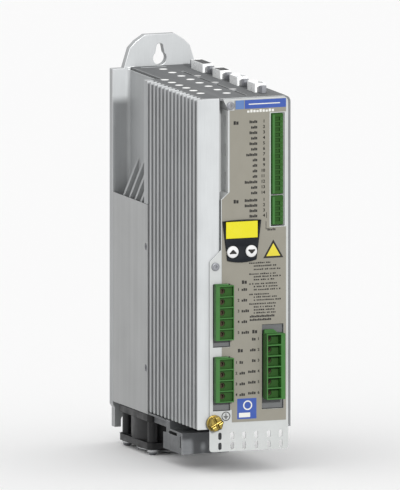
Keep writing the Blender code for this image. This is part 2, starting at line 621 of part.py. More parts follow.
def blade(turn, inner, outer, low, high):
    """One twisted fan blade, thin, from the hub to near the barrel."""
    thickness, sweep, steps = 1.1, math.radians(38.0), 4
    points = []
    for radius in (inner, outer):
        for side in (-0.5, 0.5):
            for k in range(steps + 1):
                s = k / steps
                a = turn + sweep * (s - 0.5) + side * thickness / radius
                z = low + (high - low) * (s + 0.12 * math.sin(math.pi * s))
                points.append((FAN_CENTRE[0] + radius * math.cos(a), FAN_CENTRE[1] + radius * math.sin(a), z))
    n = steps + 1

    def at(radial, side, k):
        return (radial * 2 + side) * n + k

    faces = []
    for k in range(steps):
        for quad in (
            (at(0, 0, k), at(0, 0, k + 1), at(1, 0, k + 1), at(1, 0, k)),
            (at(0, 1, k), at(1, 1, k), at(1, 1, k + 1), at(0, 1, k + 1)),
            (at(0, 0, k), at(0, 1, k), at(0, 1, k + 1), at(0, 0, k + 1)),
            (at(1, 0, k), at(1, 0, k + 1), at(1, 1, k + 1), at(1, 1, k)),
        ):
            faces.append(quad)
    for k in (0, steps):
        faces.append((at(0, 0, k), at(0, 1, k), at(1, 1, k), at(1, 0, k)))
    return points, faces


def fan_rotor():
    hub_radius = 13.5
    low, high = FAN_BOTTOM + 3.2, FAN_TOP - 1.6
    profile = [(0, low + 10.0), (4.6, low + 10.0), (4.6, low), (hub_radius, low), (hub_radius, high - 1.0)]
    profile += [(hub_radius - 1.0, high), (0, high)]
    hub = turned(profile, "Z", FAN_CENTRE, 24)
    blades = [blade(2 * math.pi * k / 7, hub_radius - 1.2, 27.3, low + 0.8, high - 3.2) for k in range(7)]
    solid("fan_rotor", "black_plastic", [hub, *blades], origin=(*FAN_CENTRE, (low + high) / 2), smooth=True)


def fan_guard():
    """Round wire rings on four arms, held under the fan by the corner screws."""
    arm_z = (FAN_BOTTOM - 1.9, FAN_BOTTOM - GAP)
    rings = [wire_ring(FAN_CENTRE, r, 0.9, FAN_BOTTOM - 2.5, 20, 5) for r in (9.0, 17.0, 25.0)]
    arms = []
    for x, y in FAN_CORNERS:
        arms.append(prism(circle((x, y), 3.8, 10), "Z", *arm_z))
        along = (Vector((x, y)) - Vector(FAN_CENTRE)).normalized()
        across = Vector((-along.y, along.x)) * 0.9
        start, end = Vector(FAN_CENTRE) + along * 8.6, Vector((x, y)) - along * 2.6
        outline = [tuple(p) for p in (start - across, end - across, end + across, start + across)]
        arms.append(prism(outline, "Z", *arm_z))
    bores = [prism(circle(corner, 2.1, 10), "Z", FAN_BOTTOM - 5.0, FAN_BOTTOM + 1.0) for corner in FAN_CORNERS]
    solid("fan_guard", "plated_steel", [rings[0], *rings[1:], *arms], bores, smooth=True)


def fan_screws():
    head = FAN_BOTTOM - 2.2
    profile = [(0, head - 1.8), (2.2, head - 1.8), (3.2, head - 1.0), (3.2, head), (1.6, head)]
    profile += [(1.6, -0.6), (0, -0.6)]
    for k, corner in enumerate(FAN_CORNERS, 1):
        solid(f"fan_screw_{k}", "plated_steel", [turned(profile, "Z", corner, 12)], smooth=True)


# ---------------------------------------------------------------- inside


def boards():
    solid("power_board", "board_green", [box((25.4, 27.0), (16.0, 160.0), (10.0, 224.0))])
    solid("control_board", "board_green", [box((65.5, 67.1), (16.0, 160.0), (78.0, 226.0))])
    solid("power_module", "module_grey", [box((SINK_INSIDE + GAP, 25.1), (60.0, 110.0), (60.0, 160.0))])


def power_parts():
    for k, z in enumerate((42.0, 77.0, 112.0), 1):
        profile = [(0, 27.4), (14.2, 27.4), (15.0, 28.4), (15.0, 61.0), (14.2, 62.0), (0, 62.0)]
        solid(f"bus_capacitor_{k}", "capacitor_blue", [turned(profile, "X", (140.0, z), 20)], smooth=True)
    ring = prism(circle((62.0, 45.0), 15.0, 20), "X", 27.4, 43.0)
    eye = prism(circle((62.0, 45.0), 7.0, 16), "X", 26.0, 45.0)
    solid("filter_choke", "module_grey", [ring], [eye], smooth=True)


# ---------------------------------------------------------------- build

for old in list(bpy.data.objects):
    bpy.data.objects.remove(old, do_unlink=True)

DRIVE = bpy.data.objects.new("drive", None)
DRIVE.location = (-WIDTH / 2 * MM, -DEPTH * MM, -HEIGHT / 2 * MM)
bpy.context.collection.objects.link(DRIVE)

heatsink()
duct_cover()
housing()
front_panel()
front_label()
panel_screws()
earth_terminal()
keypad()
power_terminals()
signal_terminals()
top_connectors()
fan_bracket()
fan_frame()
fan_rotor()
fan_guard()
fan_screws()
boards()
power_parts()
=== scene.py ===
"""Looks of a slim servo drive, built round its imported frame.

Sizes are in millimetres from the drive's lower front left corner, X to the right, Y to the rear
and Z up, and at() turns them into the frame's metres.
"""

import json
import math
import random

import bmesh
import bpy
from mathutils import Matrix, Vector

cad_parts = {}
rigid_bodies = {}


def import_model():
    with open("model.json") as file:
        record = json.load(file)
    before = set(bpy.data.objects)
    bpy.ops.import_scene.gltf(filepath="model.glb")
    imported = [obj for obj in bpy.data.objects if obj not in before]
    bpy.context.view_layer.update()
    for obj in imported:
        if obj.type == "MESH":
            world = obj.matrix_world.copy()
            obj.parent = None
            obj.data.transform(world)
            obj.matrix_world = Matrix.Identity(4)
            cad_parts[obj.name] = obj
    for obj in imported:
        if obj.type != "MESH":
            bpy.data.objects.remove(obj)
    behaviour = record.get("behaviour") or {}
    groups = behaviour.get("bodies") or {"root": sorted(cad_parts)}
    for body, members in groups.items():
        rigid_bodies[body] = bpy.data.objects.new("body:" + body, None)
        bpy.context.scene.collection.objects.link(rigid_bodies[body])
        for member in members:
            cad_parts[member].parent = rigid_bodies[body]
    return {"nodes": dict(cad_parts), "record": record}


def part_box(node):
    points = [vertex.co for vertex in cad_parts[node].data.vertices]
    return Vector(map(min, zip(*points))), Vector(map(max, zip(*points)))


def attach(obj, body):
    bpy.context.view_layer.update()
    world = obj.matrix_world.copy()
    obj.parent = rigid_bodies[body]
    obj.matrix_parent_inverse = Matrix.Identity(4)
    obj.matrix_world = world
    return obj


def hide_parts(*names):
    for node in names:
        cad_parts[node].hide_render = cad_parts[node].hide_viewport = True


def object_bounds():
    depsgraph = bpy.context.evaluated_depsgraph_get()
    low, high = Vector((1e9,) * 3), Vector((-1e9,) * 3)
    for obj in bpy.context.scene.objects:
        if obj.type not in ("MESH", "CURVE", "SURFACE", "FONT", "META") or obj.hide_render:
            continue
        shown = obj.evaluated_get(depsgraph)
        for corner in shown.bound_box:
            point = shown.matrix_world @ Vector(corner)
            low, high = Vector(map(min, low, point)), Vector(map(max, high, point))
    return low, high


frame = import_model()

CAD_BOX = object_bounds()
MM = 0.001
CORNER = Vector((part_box("heatsink")[0][0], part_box("heatsink")[0][1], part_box("housing")[0][2]))
BODY_OF = {node: body for body, nodes in frame["record"]["behaviour"]["bodies"].items() for node in nodes}
CHASSIS = BODY_OF["heatsink"]


def at(x, y, z):
    """A point of the drive, in the frame's metres."""
    return CORNER + Vector((x, y, z)) * MM


def span(node):
    """A node's box in the drive's millimetres: ((x, x), (y, y), (z, z))."""
    low, high = (Vector(corner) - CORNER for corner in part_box(node))
    return tuple((a / MM, b / MM) for a, b in zip(low, high))


def middle(pair):
    """The number halfway between two."""
    return (pair[0] + pair[1]) / 2


def direction(azimuth, elevation):
    """The unit vector towards an azimuth from the front and an elevation, both in degrees."""
    a, e = math.radians(azimuth), math.radians(elevation)
    return Vector((math.sin(a) * math.cos(e), -math.cos(a) * math.cos(e), math.sin(e)))


# ---------------------------------------------------------------- materials

# How often broad patches and smears come, and how far into a corner the painted shade and dust reach in
# metres.
PATCH_SCALE, SMEAR_SCALE = 28.0, 160.0
SHADE_AND_DUST_REACH = 0.003


def new_node(tree, kind, **settings):
    """A shader node with constants on its sockets, and its own properties for the other names."""
    node = tree.nodes.new(kind)
    for name, value in settings.items():
        if name in node.inputs:
            node.inputs[name].default_value = value
        else:
            setattr(node, name, value)
    return node


def noise(tree, vector, scale, detail=4.0):
    """The value of a noise texture at the vector."""
    node = new_node(tree, "ShaderNodeTexNoise", Scale=scale, Detail=detail)
    tree.links.new(vector, node.inputs["Vector"])
    return node.outputs["Fac"]


def remap(tree, value, low, high):
    """Spreads a noise value, which stays near one half, from low to high."""
    node = new_node(tree, "ShaderNodeMapRange")
    for name, number in (("From Min", 0.3), ("From Max", 0.7), ("To Min", low), ("To Max", high)):
        node.inputs[name].default_value = number
    tree.links.new(value, node.inputs["Value"])
    return node.outputs["Result"]


def blend_colours(tree, share, first, second):
    """The mix of two colours by a share; each colour is a tuple or a node's output."""
    node = new_node(tree, "ShaderNodeMix", data_type="RGBA")
    tree.links.new(share, node.inputs["Factor"])
    for socket, colour in ((node.inputs[6], first), (node.inputs[7], second)):
        if isinstance(colour, tuple):
            socket.default_value = (*colour, 1.0)
        else:
            tree.links.new(colour, socket)
    return node.outputs[2]


def scaled(colour, by):
    """A colour made lighter or darker by a factor."""
    return tuple(min(1.0, channel * by) for channel in colour)


def finish(name, colour, metallic=0.0, roughness=0.5, uneven=0.1, grain=1400.0, depth=0.00004,
           stretch=(1, 1, 1), specular=0.5, coat=0.0, dust_and_shade=0.25):
    """A worn, slightly uneven surface: broad tone, fine grain along one direction, and painted shade in the
    corners from an ambient-occlusion mask, which also stands for dust.
    """
    material = bpy.data.materials.new(name)
    material.use_nodes = True
    tree = material.node_tree
    shader = tree.nodes["Principled BSDF"]
    shader.inputs["Metallic"].default_value = metallic
    shader.inputs["Specular IOR Level"].default_value = specular
    shader.inputs["Coat Weight"].default_value = coat
    shader.inputs["Coat Roughness"].default_value = 0.15
    coordinates = new_node(tree, "ShaderNodeTexCoord")
    mapping = new_node(tree, "ShaderNodeMapping", Scale=stretch)
    tree.links.new(coordinates.outputs["Object"], mapping.inputs["Vector"])
    broad = noise(tree, coordinates.outputs["Object"], PATCH_SCALE)
    fine = noise(tree, mapping.outputs["Vector"], grain, 2.0)
    smears = noise(tree, mapping.outputs["Vector"], SMEAR_SCALE, 6.0)
    darker, lighter = scaled(colour, 1 - uneven), scaled(colour, 1 + uneven * 0.7)
    tone = blend_colours(tree, remap(tree, broad, 0.0, 1.0), darker, lighter)
    speckled = blend_colours(tree, remap(tree, fine, 0.0, 0.3), tone, scaled(colour, 1 - 2.2 * uneven))
    # Painted shade: the ambient-occlusion mask darkens the colour in corners and recesses, where shade falls,
    # and also stands for dust there.
    cavity = new_node(tree, "ShaderNodeAmbientOcclusion", Distance=SHADE_AND_DUST_REACH, samples=6)
    shade_share = new_node(tree, "ShaderNodeMath", operation="MULTIPLY_ADD", use_clamp=True)
    tree.links.new(cavity.outputs["AO"], shade_share.inputs[0])
    shade_share.inputs[1].default_value = -dust_and_shade
    shade_share.inputs[2].default_value = dust_and_shade
    coloured = blend_colours(tree, shade_share.outputs[0], speckled, scaled(colour, 0.35))
    tree.links.new(coloured, shader.inputs["Base Color"])
    tree.links.new(remap(tree, smears, roughness - 0.1, roughness + 0.12), shader.inputs["Roughness"])
    bump = new_node(tree, "ShaderNodeBump", Strength=0.35, Distance=depth)
    tree.links.new(fine, bump.inputs["Height"])
    tree.links.new(bump.outputs["Normal"], shader.inputs["Normal"])
    return material


# The grain is drawn out along Z on the extrusion and the duct's cover, and along Y on the lid.
UPRIGHT = (1.0, 1.0, 0.03)
ALONG = (1.0, 0.04, 1.0)
ALUMINIUM = finish("extruded_aluminium", (0.335, 0.345, 0.35), 0.15, 0.48, 0.08, 1500.0, 0.00005, UPRIGHT)
ALUMINIUM_EDGE = finish("rubbed_aluminium", (0.46, 0.47, 0.475), 0.5, 0.35, 0.06, 1800.0, 0.00002, UPRIGHT)
# Painted shade: the lid's grey is darkened so its top face looks as dim as a top that gets little light.
SHADE_DARKENED_LID = finish("lid_sheet_painted_shade", (0.122, 0.126, 0.129), 0.0, 0.62, 0.07, 1200.0, 0.00004, ALONG, specular=0.1)
LID_EDGE = finish("sheet_edge", (0.36, 0.37, 0.375), 0.3, 0.4, 0.06, 1500.0, 0.00002)
COVER = finish("duct_sheet", (0.33, 0.335, 0.335), 0.15, 0.45, 0.06, 1400.0, 0.00003, UPRIGHT)
# Painted shade: the fan bracket is light grey metal, darkened here for the shade it lies in under the panel's
# shield.
SHADED_BRACKET = finish("bracket_sheet_painted_shade", (0.105, 0.11, 0.115), 0.2, 0.45, 0.07, 1300.0, 0.00003)
PANEL = finish("panel_paint", (0.298, 0.307, 0.303), 0.0, 0.42, 0.04, 1900.0, 0.00003, coat=0.05)
PANEL_EDGE = finish("panel_edge", (0.42, 0.43, 0.43), 0.2, 0.4, 0.05, 1900.0, 0.00002)
FILM = finish("label_film", (0.15, 0.142, 0.117), 0.0, 0.45, 0.05, 2600.0, 0.00001, specular=0.35, dust_and_shade=0.1)
INK = finish("black_ink", (0.012, 0.011, 0.01), 0.0, 0.5, 0.2, 2600.0, 0.00001, specular=0.2, dust_and_shade=0.0)
WHITE_INK = finish("white_ink", (0.42, 0.42, 0.4), 0.0, 0.5, 0.06, 2600.0, 0.00001, specular=0.3, dust_and_shade=0.0)
BLUE_INK = finish("blue_ink", (0.02, 0.05, 0.21), 0.0, 0.4, 0.08, 2600.0, 0.00001, specular=0.3, dust_and_shade=0.0)
PALE_BLUE_INK = finish("pale_blue_ink", (0.045, 0.1, 0.24), 0.0, 0.4, 0.08, 2600.0, 0.00001, dust_and_shade=0.0)
YELLOW_INK = finish("yellow_ink", (0.4, 0.34, 0.012), 0.0, 0.4, 0.06, 2600.0, 0.00001, dust_and_shade=0.0)
BLACK = finish("black_moulding", (0.011, 0.011, 0.012), 0.0, 0.45, 0.15, 1500.0, 0.00005, specular=0.35)
KEYPAD_BLACK = finish("keypad_black", (0.003, 0.0045, 0.007), 0.0, 0.4, 0.15, 2200.0, 0.00002, specular=0.2)
DISPLAY = finish("display_glow", (0.41, 0.37, 0.006), 0.0, 0.25, 0.04, 3000.0, 0.00001,
                 specular=0.3, coat=0.2, dust_and_shade=0.05)
# Painted light: paler than the panel, to brighten the recess wall that lies in shade.
CHANNEL_LIGHT = finish("channel_painted_light", (0.6, 0.61, 0.6), 0.0, 0.42, 0.04, 1900.0, 0.00003, dust_and_shade=0.1)
WHITE = finish("white_moulding", (0.42, 0.42, 0.42), 0.0, 0.5, 0.04, 1700.0, 0.00002)
GREEN = finish("green_polyamide", (0.02, 0.09, 0.0135), 0.0, 0.42, 0.09, 1500.0, 0.00004,
               specular=0.3, dust_and_shade=0.2)
# Deep green is the signal plugs' own moulding; on the power plugs' pocket floors it is painted shade.
DEEP_GREEN = finish("deep_green_polyamide", (0.013, 0.054, 0.006), 0.0, 0.5, 0.12, 1500.0, 0.00004,
                    specular=0.15, dust_and_shade=0.3)
GREY = finish("grey_polyamide", (0.066, 0.069, 0.07), 0.0, 0.5, 0.08, 1500.0, 0.00004)
STEEL = finish("plated_steel", (0.55, 0.56, 0.57), 0.9, 0.3, 0.07, 1500.0, 0.00002)
SCREW = finish("zinc_screw", (0.2, 0.205, 0.22), 0.35, 0.42, 0.12, 1500.0, 0.00003, dust_and_shade=0.5)
# Painted reflection: the pale tinned metal is given a near-white matt colour for the white surroundings it
# reflects.
SHELL_PAINTED_REFLECTION = finish("tinned_shell_painted_reflection", (0.84, 0.85, 0.85), 0.15, 0.3, 0.025, 1500.0, 0.000005, dust_and_shade=0.15)
# The brass gets a strong share of painted shade in its slots and corners.
BRASS = finish("turned_brass", (0.36, 0.27, 0.07), 0.9, 0.3, 0.22, 1500.0, 0.00003, dust_and_shade=0.75)
# Painted shade: the clamps' brass is darkened to the shade deep in the wire mouths.
SHADED_BRASS = finish("brass_painted_shade", (0.035, 0.022, 0.006), 0.4, 0.5, 0.2, 1500.0, 0.00003)
# Painted light: near-white discs that stand for the light seen through the lid's vents.
VENT_LIGHT = finish("vent_painted_light", (0.8, 0.8, 0.79), 0.0, 0.9, 0.05, 2600.0, 0.00006, specular=0.1, dust_and_shade=0.05)
BOARD = finish("solder_mask", (0.015, 0.1, 0.04), 0.0, 0.35, 0.12, 900.0, 0.00002, coat=0.3)
SLEEVE = finish("capacitor_sleeve", (0.02, 0.035, 0.11), 0.0, 0.3, 0.08, 900.0, 0.00002)
MODULE = finish("module_case", (0.05, 0.05, 0.055), 0.0, 0.5, 0.1, 1300.0, 0.00004)
COPPER = finish("enamelled_copper", (0.5, 0.2, 0.08), 0.9, 0.3, 0.1, 1500.0, 0.00002)


# ---------------------------------------------------------------- forms


# An outline lies across an axis, and w is the place along it.
AXIS_ORDER = {
    "X": lambda u, v, w: (w, u, v),
    "Y": lambda u, v, w: (u, w, v),
    "Z": lambda u, v, w: (u, v, w),
}


def prism(outline, axis, low, high):
    """An outline drawn out along an axis from low to high, as (points, faces)."""
    order = AXIS_ORDER[axis]
    count = len(outline)
    points = [order(u, v, w) for w in (low, high) for u, v in outline]
    faces = [tuple(range(count)), tuple(range(count, 2 * count))]
    faces += [(i, (i + 1) % count, count + (i + 1) % count, count + i) for i in range(count)]
    return points, faces


def box(x, y, z):
    """A block between three pairs of places, as (points, faces)."""
    return prism([(x[0], y[0]), (x[1], y[0]), (x[1], y[1]), (x[0], y[1])], "Z", *z)


def arc(centre, radius, start, end, steps):
    """The points of an arc between two angles in degrees."""
    angles = [math.radians(start + (end - start) * i / steps) for i in range(steps + 1)]
    return [(centre[0] + radius * math.cos(a), centre[1] + radius * math.sin(a)) for a in angles]


def circle(centre, radius, sides=48, turn=0.0):
    """The corners of a regular polygon, which is a circle when it has many."""
    return arc(centre, radius, turn, turn + 360.0, sides)[:-1]


def turned(profile, axis, centre, sides=48):
    """A profile of (radius, height) points turned about an axis; its two ends lie on the axis."""
    order = AXIS_ORDER[axis]
    rings = profile[1:-1]
    points = [order(*centre, profile[0][1])]
    for radius, height in rings:
        points += [order(u, v, height) for u, v in circle(centre, radius, sides)]
    points.append(order(*centre, profile[-1][1]))
    faces = []
    for i in range(sides):
        j = (i + 1) % sides
        faces.append((0, 1 + j, 1 + i))
        for k in range(len(rings) - 1):
            a, b = 1 + k * sides, 1 + (k + 1) * sides
            faces.append((a + i, a + j, b + j, b + i))
        base = 1 + (len(rings) - 1) * sides
        faces.append((base + i, base + j, len(points) - 1))
    return points, faces


def hollow(outer, inner, axis, low, high):
    """A wall between two outlines with the same number of points."""
    order = AXIS_ORDER[axis]
    n = len(outer)
    points = [order(u, v, w) for line in (outer, inner) for w in (low, high) for u, v in line]
    faces = []
    for i in range(n):
        j = (i + 1) % n
        for a, b in ((0, n), (n, 3 * n), (3 * n, 2 * n), (2 * n, 0)):
            faces.append((a + i, a + j, b + j, b + i))
    return points, faces


def ring(centre, radius, wire, height, sides=72, around=12):
    """A wire of a given radius bent into a level ring."""
    points, faces = [], []
    for i in range(sides):
        a = 2 * math.pi * i / sides
        for k in range(around):
            b = 2 * math.pi * k / around
            r = radius + wire * math.cos(b)
            level = height + wire * math.sin(b)
            points.append((centre[0] + r * math.cos(a), centre[1] + r * math.sin(a), level))
    for i in range(sides):
        for k in range(around):
            j, m = (i + 1) % sides, (k + 1) % around
            faces.append((i * around + k, j * around + k, j * around + m, i * around + m))
    return points, faces


def rod(start, end, radius, sides=12):
    """A round bar between two points."""
    start, end = Vector(start), Vector(end)
    along = (end - start).normalized()
    side = along.orthogonal().normalized()
    other = along.cross(side)
    points = []
    for point in (start, end):
        for i in range(sides):
            a = 2 * math.pi * i / sides
            points.append(tuple(point + radius * (side * math.cos(a) + other * math.sin(a))))
    faces = [tuple(range(sides)), tuple(range(sides, 2 * sides))]
    faces += [(i, (i + 1) % sides, sides + (i + 1) % sides, sides + i) for i in range(sides)]
    return points, faces


# ---------------------------------------------------------------- pieces

SHARP_DEGREES = 35
SAME_POINT = 2e-6
SAME_PLANE = math.radians(1.0)


def dressed(mesh, materials, sharp):
    """Gives a mesh its materials, and smooth shading below the sharp angle."""
    mesh.materials.clear()
    for material in materials:
        mesh.materials.append(material)
    mesh.shade_smooth()
    mesh.set_sharp_from_angle(angle=math.radians(sharp))


def soften(piece, width, segments, has_edge):
    """Breaks the sharp edges, and gives them the rubbed finish if there is one."""
    bevel = piece.modifiers.new("BrokenEdges", "BEVEL")
    bevel.width = width * MM
    bevel.segments = segments
    bevel.limit_method = "ANGLE"
    bevel.angle_limit = math.radians(SHARP_DEGREES)
    bevel.use_clamp_overlap = False
    bevel.harden_normals = True
    bevel.material = 1 if has_edge else -1


def cut(piece, forms):
    """Cuts forms out of a piece and keeps the result as its mesh."""
    tool = bpy.data.objects.new("tool", mesh_from(forms))
    bpy.context.collection.objects.link(tool)
    modifier = piece.modifiers.new("Cut", "BOOLEAN")
    modifier.operation = "DIFFERENCE"
    modifier.object = tool
    graph = bpy.context.evaluated_depsgraph_get()
    result = bpy.data.meshes.new_from_object(piece.evaluated_get(graph))
    piece.modifiers.clear()
    piece.data = result
    bpy.data.objects.remove(tool)


def mesh_from(forms):
    """One mesh, in metres, from closed forms in the drive's millimetres."""
    mesh = bpy.data.meshes.new("form")
    form = bmesh.new()
    for points, faces in forms:
        corners = [form.verts.new(at(*p)) for p in points]
        for face in faces:
            form.faces.new([corners[i] for i in face])
    bmesh.ops.recalc_face_normals(form, faces=form.faces)
    form.to_mesh(mesh)
    form.free()
    return mesh


def make(name, body, forms, material, width=0.0, segments=2, stands_for=(), cuts=(), sharp=SHARP_DEGREES):
    """A new piece from closed forms, riding on a body."""
    piece = bpy.data.objects.new(name, mesh_from(forms))
    bpy.context.collection.objects.link(piece)
    if cuts:
        cut(piece, cuts)
    dressed(piece.data, [material], sharp)
    if width:
        soften(piece, width, segments, False)
    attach(piece, body)
    if stands_for:
        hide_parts(*stands_for)


def refine(node, material, edge=None, width=0.2, move=None, merge_faces=True):
    """A copy of a CAD node with clean faces, broken edges and a finished surface."""
    source = frame["nodes"][node]
    mesh = source.data.copy()
    mesh.transform(source.matrix_world)
    form = bmesh.new()
    form.from_mesh(mesh)
    bmesh.ops.remove_doubles(form, verts=form.verts, dist=SAME_POINT)
    if merge_faces:
        bmesh.ops.dissolve_limit(form, angle_limit=SAME_PLANE, verts=form.verts, edges=form.edges)
    if move:
        for vertex in form.verts:
            vertex.co = at(*move(*((vertex.co - CORNER) / MM)))
    form.to_mesh(mesh)
    form.free()
    piece = bpy.data.objects.new(f"{node}_finished", mesh)
    bpy.context.collection.objects.link(piece)
    dressed(mesh, [material, edge] if edge else [material], SHARP_DEGREES)
    if width:
        soften(piece, width, 2, edge is not None)
    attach(piece, BODY_OF[node])
    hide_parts(node)


# ---------------------------------------------------------------- case


def case():
    """The extrusion, the sheet parts and the two screws of the duct cover."""
    refine("heatsink", ALUMINIUM, ALUMINIUM_EDGE, 0.35)
    refine("duct_cover", COVER, ALUMINIUM_EDGE, 0.15)
    # The lid's darker colour is painted shade on its top.
    refine("housing", SHADE_DARKENED_LID, LID_EDGE, 0.2)
    refine("front_panel", PANEL, PANEL_EDGE, 0.15)
    # The bracket's dark colour is painted shade.
    refine("fan_bracket", SHADED_BRACKET, LID_EDGE, 0.12)
    for name in ("duct_cover_screw_upper", "duct_cover_screw_lower"):
        _, y, z = span(name)
        centre = (middle(y), middle(z))
        head = turned([(0, 0.15), (1.7, 0.15), (2.1, 0.35), (2.2, 0.9), (0, 0.9)], "X", centre)
        recess = prism(circle(centre, 1.1, 6), "X", -1.0, 0.7)
        make(f"{name}_head", CHASSIS, [head], SCREW, cuts=[recess], stands_for=(name,))


def channel_skin():
    """A pale skin on the wall of the recess beside the film, with its three slits: painted light that
    brightens the shaded recess.
    """
    slit_x, slit_y, slits_z = (22.0, 23.4), (4.6, 6.0), ((173.0, 182.0), (193.0, 202.0), (214.0, 222.0))
    skin = box((22.64, 22.78), (-1.0, 12.1), (168.2, 225.9))
    make("channel_skin", CHASSIS, [skin], CHANNEL_LIGHT, cuts=[box(slit_x, slit_y, z) for z in slits_z])


def panel_screw(name):
    """A flat round head with a hexagon socket and a turned ring round it."""
    x, y, z = span(name)
    centre, front = (middle(x), middle(z)), y[0] + 0.5
    profile = [(0, front), (1.7, front), (1.8, front + 0.25), (2.1, front + 0.25)]
    profile += [(2.2, front), (2.55, front + 0.1), (2.85, front + 0.4), (2.85, -1.2), (0, -1.2)]
    socket = prism(circle(centre, 1.25, 6), "Y", front - 1, front + 0.9)
    make(f"{name}_head", CHASSIS, [turned(profile, "Y", centre)], SCREW, cuts=[socket], stands_for=(name,))


def earth_terminal():
    """The brass screw with a cross of two slots, and its washer."""
    x, y, z = span("earth_screw")
    centre, front, seat = (middle(x), middle(z)), y[0], -3.3
    arm, reach, turn = 0.75, 7.0, math.radians(28.0)
    cross = [(arm, arm), (arm, reach), (-arm, reach)]
    for _ in range(3):
        cross += [(-v, u) for u, v in cross[-3:]]
    cos, sin = math.cos(turn), math.sin(turn)
    slots = [(centre[0] + u * cos - v * sin, centre[1] + u * sin + v * cos) for u, v in cross]
    head = prism(circle(centre, 5.45, 6, 15.0), "Y", front, seat)
    make("earth_screw_head", CHASSIS, [head], BRASS, width=0.7, segments=3, stands_for=("earth_screw",),
         cuts=[prism(slots, "Y", front - 1, front + 1.6)], sharp=50)
    washer = hollow(circle(centre, 5.8), circle(centre, 2.7), "Y", seat, -1.2)
    make("earth_washer_ring", CHASSIS, [washer], BRASS, width=0.3, stands_for=("earth_washer",))


# ---------------------------------------------------------------- front film and its print

FILM_FRONT = span("front_panel")[1][0] - 0.25
INK_FRONT = FILM_FRONT - 0.05
# Where ink lies along Y: on the film, on ink that is already there, and past the film on the panel.
ON_FILM = (INK_FRONT, FILM_FRONT + 0.02)
ON_INK = (INK_FRONT - 0.03, INK_FRONT)
ON_PANEL = (INK_FRONT, FILM_FRONT + 0.3)

# The pitch of a plug's poles, and its wall beyond the first and the last of them.
POWER_POLES = (7.62, 0.45)
SIGNAL_POLES = (3.81, 1.7)

# Height, pitch and share of ink of the blocks that stand for letters.
HEADING = (2.5, 2.0, 0.82)
SIGNAL_HEADING = (2.6, 2.0, 0.82)
SIGNAL_WORD = (2.0, 1.2, 0.84)
POWER_WORD = (2.0, 1.45, 0.8)
BOLD_LINE = (1.6, 1.25, 0.8)
SIDE_WORD = (1.7, 1.25, 0.72)
TITLE = (2.0, 2.3, 0.72)

# Each power plug's numerals end at the first place. Its words end at the second, or follow the numeral.
# Then come the lift of a row over its pole, the heading's end and rise, and the letters of each word.
POWER_PRINT = (
    ("mains_plug", 30.9, None, 0.2, (36.8, 5.4), (3, 3, 4, 3, 4)),
    ("motor_plug", 29.3, None, 0.2, (33.8, 8.6), (2, 3, 3, 3)),
    ("supply_plug", 45.9, 43.3, 0.1, (44.6, 5.4), (2, 3, 2, 4, 4, 4)),
)
TRIANGLE_X, TRIANGLE_Z = (48.8, 63.9), (120.2, 133.2)
EARTH_SIGN = (20.9, 9.6)
CONTROL_LETTERS = (5, 4, 5, 4, 5, 4, 7, 3, 3, 3, 3, 8, 4, 4)
AUXILIARY_LETTERS = (8, 8, 5, 5)


def settle_film(x, y, z):
    """The film lies on the panel: its back goes to the panel's face."""
    return x, min(y + 0.3, FILM_FRONT + 0.25), z


def bar(x, z):
    """A printed rectangle."""
    return box(x, ON_FILM, z)


def word(right, z, letters, style):
    """A row of small blocks where a printed word would be, ending at right."""
    height, pitch, bold = style
    forms = []
    for k in range(letters):
        start = right - (letters - k) * pitch
        tall = height * (0.72 + 0.28 * ((k * 5 + letters) % 3) / 2)
        forms.append(bar((start, start + pitch * bold), (z - height / 2, z - height / 2 + tall)))
    return forms


def numeral(number, right, z, height):
    """A printed number as a flat mesh, ending at right."""
    curve = bpy.data.curves.new("numeral", "FONT")
    curve.body = str(number)
    curve.size = height * 1.38
    curve.extrude = 0.02
    curve.offset = height * 0.02
    curve.align_x = "RIGHT"
    curve.align_y = "CENTER"
    holder = bpy.data.objects.new("numeral", curve)
    bpy.context.collection.objects.link(holder)
    graph = bpy.context.evaluated_depsgraph_get()
    mesh = bpy.data.meshes.new_from_object(holder.evaluated_get(graph))
    points = [(right + v.co.x, INK_FRONT + 0.02 - v.co.z, z + v.co.y) for v in mesh.vertices]
    faces = [tuple(p.vertices) for p in mesh.polygons]
    bpy.data.objects.remove(holder)
    return points, faces


def bold_numeral(number, right, z, height):
    """The number printed twice, a hair apart, which thickens its strokes."""
    return [numeral(number, right + shift, z, height) for shift in (0.0, 0.13)]


def pole_heights(node, pitch, margin):
    """The middle of each pole of a plug, from the bottom up."""
    low, high = span(node)[2]
    count = round((high - low - 2 * margin) / pitch)
    return [low + margin + (k + 0.5) * pitch for k in range(count)]


def signal_print():
    """Terminal numbers beside the signal plugs, with a block word for each name."""
    left = span("control_header")[0][0]
    top, low_plug = span("control_plug")[2][1], span("auxiliary_plug")[2]
    rows = [(k + 1, top - 4.7 - 3.88 * k, letters) for k, letters in enumerate(CONTROL_LETTERS)]
    rows += [(k + 1, low_plug[1] - 2.0 - 3.75 * k, letters) for k, letters in enumerate(AUXILIARY_LETTERS)]
    forms = []
    for number, z, letters in rows:
        forms += bold_numeral(number, left - 4.5, z, 2.2)
        forms += word(left - 10.1, z, letters, SIGNAL_WORD)
    forms += word(left - 24.0, top - 4.9, 2, SIGNAL_HEADING)
    forms += word(left - 24.0, low_plug[1] - 2.4, 2, SIGNAL_HEADING)
    line, foot = left - 3.9, low_plug[0] - 3.0
    forms.append(bar((line, line + 0.4), (foot, foot + 5.6)))
    forms.append(bar((line, line + 1.6), (foot, foot + 0.4)))
    forms.append(bar((line + 0.4, line + 0.8), (foot + 8.0, foot + 12.0)))
    forms += word(line + 7.6, foot - 0.2, 5, SIDE_WORD)
    return forms


